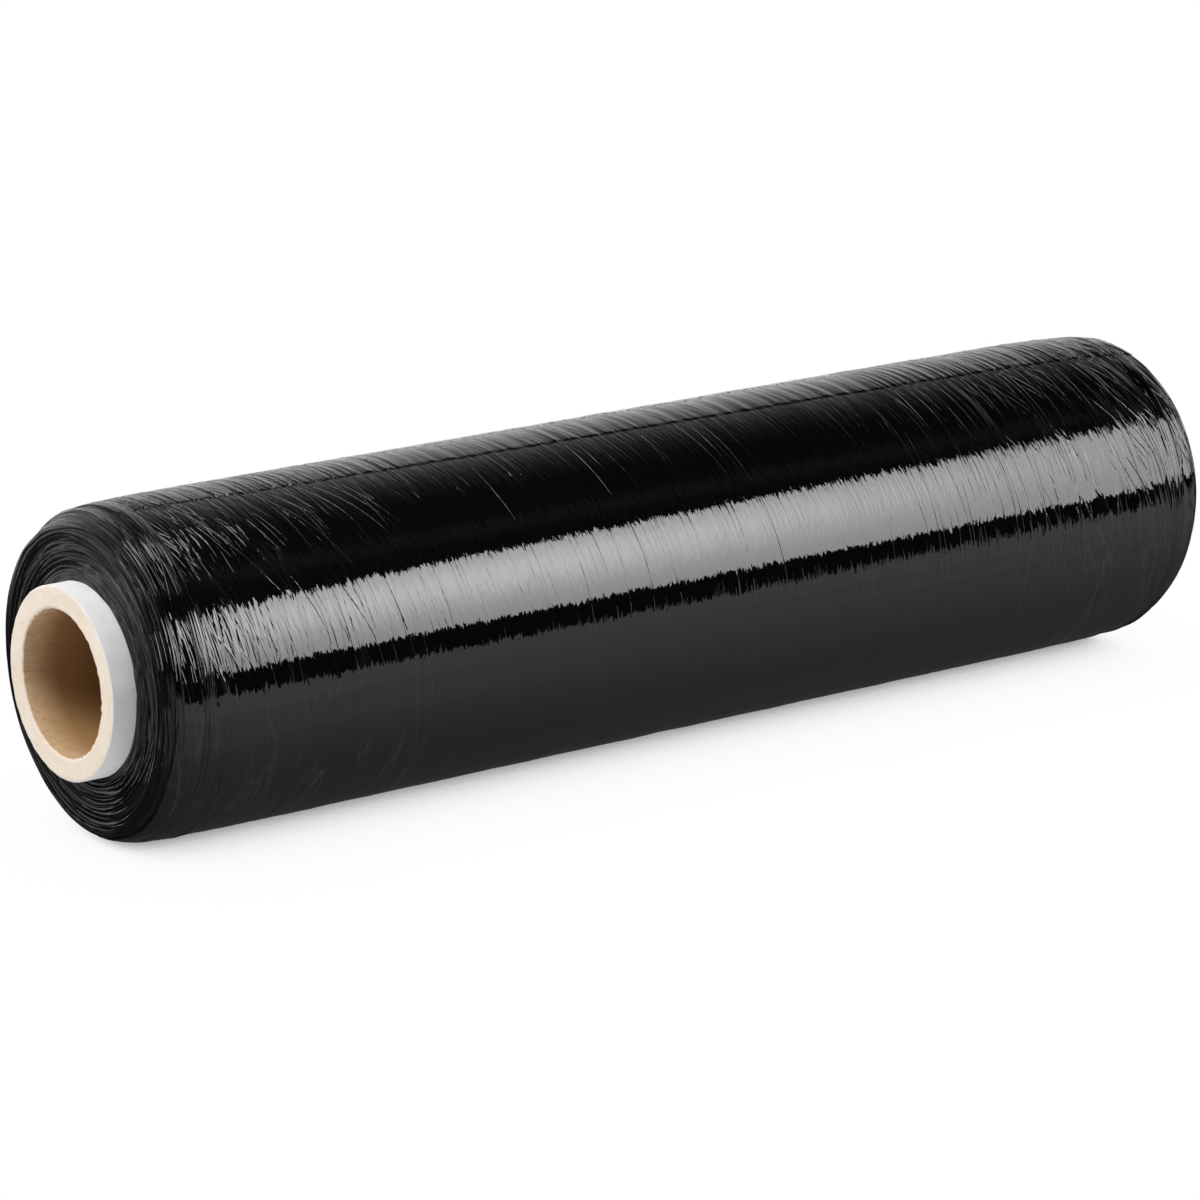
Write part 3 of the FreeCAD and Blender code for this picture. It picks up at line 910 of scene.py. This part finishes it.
# %% Outer film materials
def film_material(name, bumps, painted_glint_zone, bump_fade):
    """Glossy black film with two streak layers, and crease families as one list for each bump node."""
    material, tree, surface = start_material(name)
    surface.inputs["Roughness"].default_value = 0.04
    surface.inputs["IOR"].default_value = 1.51
    place = add(tree, "ShaderNodeTexCoord").outputs["Object"]
    along_axis = add(tree, "ShaderNodeSeparateXYZ", {0: place}).outputs["X"]
    grazing = add(tree, "ShaderNodeLayerWeight", {"Blend": 0.5}).outputs["Facing"]
    bump_strength = remap(tree, grazing, bump_fade[0], bump_fade[1], 1.0, 0.2)

    def zone(start_mm, full_mm):
        """Mask that rises between two places, measured in from the near end of the film."""
        low = start_mm * MM - film_half * MM
        high = full_mm * MM - film_half * MM
        return remap(tree, along_axis, low, high, interpolation_type="SMOOTHSTEP")

    grain = place_group(
        tree, streaks, {"Across mm": 1.1, "Along mm": 4.5, "Slant": 0.05, "Top slant": 0.05}
    )["Height"]
    pulled = place_group(
        tree, streaks,
        {"Across mm": 1.5, "Along mm": 60.0, "Slant": 0.10, "Top slant": 0.14, "Detail": 2.0}
    )["Height"]
    height = calculate(tree, "MULTIPLY", grain, 0.110)
    height = calculate(tree, "MULTIPLY_ADD", pulled, 0.18, height)
    normal = {}
    painted_glint_mask = 0.0
    for families in bumps:
        for (
            start_mm, full_mm, across, along, slant, top_slant,
            half_width, share, shift, millimetres, painted_glint_amount,
        ) in families:
            family = place_group(tree, creases, {
                "Across mm": across, "Along mm": along, "Slant": slant, "Top slant": top_slant,
                "Sharpness": 2.2 * across / half_width, "Share": share, "Shift": shift,
            })["Height"]
            if start_mm > -5:
                family = calculate(tree, "MULTIPLY", family, zone(start_mm, full_mm))
            height = calculate(tree, "MULTIPLY_ADD", family, millimetres, height)
            # Painted highlight: each family adds its share to the mask of painted glints.
            if painted_glint_amount:
                painted_glint_mask = calculate(tree, "MULTIPLY_ADD", family, painted_glint_amount, painted_glint_mask)
        if normal:
            height = calculate(tree, "MULTIPLY", height, zone(9, 15))
        normal = {
            "Normal": add(
                tree, "ShaderNodeBump",
                {"Height": height, "Strength": bump_strength, "Distance": MM, **normal}
            ).outputs[0]
        }
        height = 0.0
    tree.links.new(normal["Normal"], surface.inputs["Normal"])
    # Painted highlight: near both ends the creases get a lighter grey base colour, painted glints standing in
    # for the light they would catch.
    painted_glint_mask = calculate(tree, "MULTIPLY", painted_glint_mask, zone(*painted_glint_zone))
    colour = add(
        tree, "ShaderNodeMix",
        {"Factor": painted_glint_mask, "A": (0.0045, 0.0045, 0.0047, 1), "B": (0.05, 0.05, 0.05, 1)}, data_type="RGBA"
    ).outputs[2]
    tree.links.new(colour, surface.inputs["Base Color"])
    return material


# The last number of each family is the amount of its painted glint.
long_creases = (-10, -10, 8.0, 110.0, 0.07, 0.10, 0.27, 0.60, 23.0, 0.075, 0.40)
hair_lines = (-10, -10, 2.2, 60.0, 0.10, 0.14, 0.20, 0.70, 57.0, 0.026, 0.0)
far_lines = (260, 340, 2.8, 45.0, 0.05, 0.05, 0.25, 0.75, 31.0, 0.085, 0.0)
near_film = film_material("black_film_near", [[long_creases, hair_lines], [
    (57, 17, 3.2, 50.0, 0.10, 0.25, 0.22, 0.55, 0.0, 0.065, 0.0),
    (57, 17, 2.4, 36.0, -0.05, 0.10, 0.22, 0.34, 40.0, 0.050, 0.0),
    (141, 41, 6.0, 60.0, 0.20, 0.42, 0.28, 0.80, 11.0, 0.105, 0.22),
    (120, 40, 3.6, 45.0, 0.12, 0.30, 0.20, 0.70, 77.0, 0.045, 0.18),
]], (150, 60), (0.72, 0.97))
far_film = film_material("black_film_far", [[long_creases, hair_lines, far_lines], [
    (350, 410, 4.5, 38.0, 0.38, 0.36, 0.33, 0.72, 5.0, 0.150, 0.30),
    (396, 430, 2.4, 32.0, 0.12, 0.20, 0.30, 0.85, 9.0, 0.160, 0.30),
]], (330, 410), (0.60, 0.90))
outer_wrap.data.materials.append(near_film)
outer_wrap.data.materials.append(far_film)
in_far_half = [face.center.x > -0.0255 for face in outer_wrap.data.polygons]
outer_wrap.data.polygons.foreach_set("material_index", np.array(in_far_half, dtype=np.int32))
print("black film made, faces of the far part", sum(in_far_half))

# %% [markdown]
# The edges of the turns are the same film. Their fine lines follow the ridges, so this material reads its
# noise along the distance from the axis, less the distance from the middle, which runs on smoothly from
# the flat end over the shoulder.

# %% Turn edge material
film_edges, tree, surface = start_material("film_edges")
surface.inputs["Base Color"].default_value = (0.0020, 0.0020, 0.0021, 1)
surface.inputs["Roughness"].default_value = 0.07
surface.inputs["IOR"].default_value = 1.51
place = add(tree, "ShaderNodeTexCoord").outputs["Object"]
split = add(tree, "ShaderNodeSeparateXYZ", {0: place}).outputs
lifted = calculate(tree, "SUBTRACT", split["Z"], axis_height * MM)
flat = add(tree, "ShaderNodeCombineXYZ", {0: 0.0, 1: split["Y"], 2: lifted}).outputs[0]
out_from_axis = add(tree, "ShaderNodeVectorMath", {0: flat}, operation="LENGTH").outputs["Value"]
from_middle = calculate(tree, "ABSOLUTE", split["X"])
along_profile = calculate(tree, "SUBTRACT", out_from_axis, from_middle)


def edge_lines(line_mm, round_mm, sharpness=0.0):
    """Noise stretched along the turns, or the thin lines where it crosses its middle value."""
    stretched = add(tree, "ShaderNodeCombineXYZ", {
        0: calculate(tree, "MULTIPLY", along_profile, 1000.0 / line_mm),
        1: calculate(tree, "MULTIPLY", split["Y"], 1000.0 / round_mm),
        2: calculate(tree, "MULTIPLY", split["Z"], 1000.0 / round_mm),
    }).outputs[0]
    noise = add(tree, "ShaderNodeTexNoise", {"Vector": stretched, "Scale": 1.0, "Detail": 1.0}).outputs["Fac"]
    if not sharpness:
        return noise
    off_line = calculate(tree, "ABSOLUTE", calculate(tree, "SUBTRACT", noise, 0.5))
    off_line = calculate(tree, "MULTIPLY", off_line, sharpness)
    return calculate(tree, "SUBTRACT", 1.0, off_line, use_clamp=True)


edge_height = calculate(tree, "MULTIPLY", edge_lines(0.50, 60.0), 0.06)
edge_height = calculate(tree, "MULTIPLY_ADD", edge_lines(1.6, 50.0), 0.36, edge_height)
edge_height = calculate(tree, "MULTIPLY_ADD", edge_lines(1.5, 75.0, 16.0), 0.12, edge_height)
edge_height = calculate(tree, "MULTIPLY_ADD", edge_lines(3.1, 110.0, 28.0), 0.16, edge_height)
edge_bump = add(tree, "ShaderNodeBump", {"Height": edge_height, "Strength": 1.0, "Distance": MM}).outputs[0]
tree.links.new(edge_bump, surface.inputs["Normal"])
wound_turns.data.materials.append(film_edges)

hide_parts("film_winding")
for piece in (wound_turns, outer_wrap):
    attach(piece, "root")
print("film dressed")
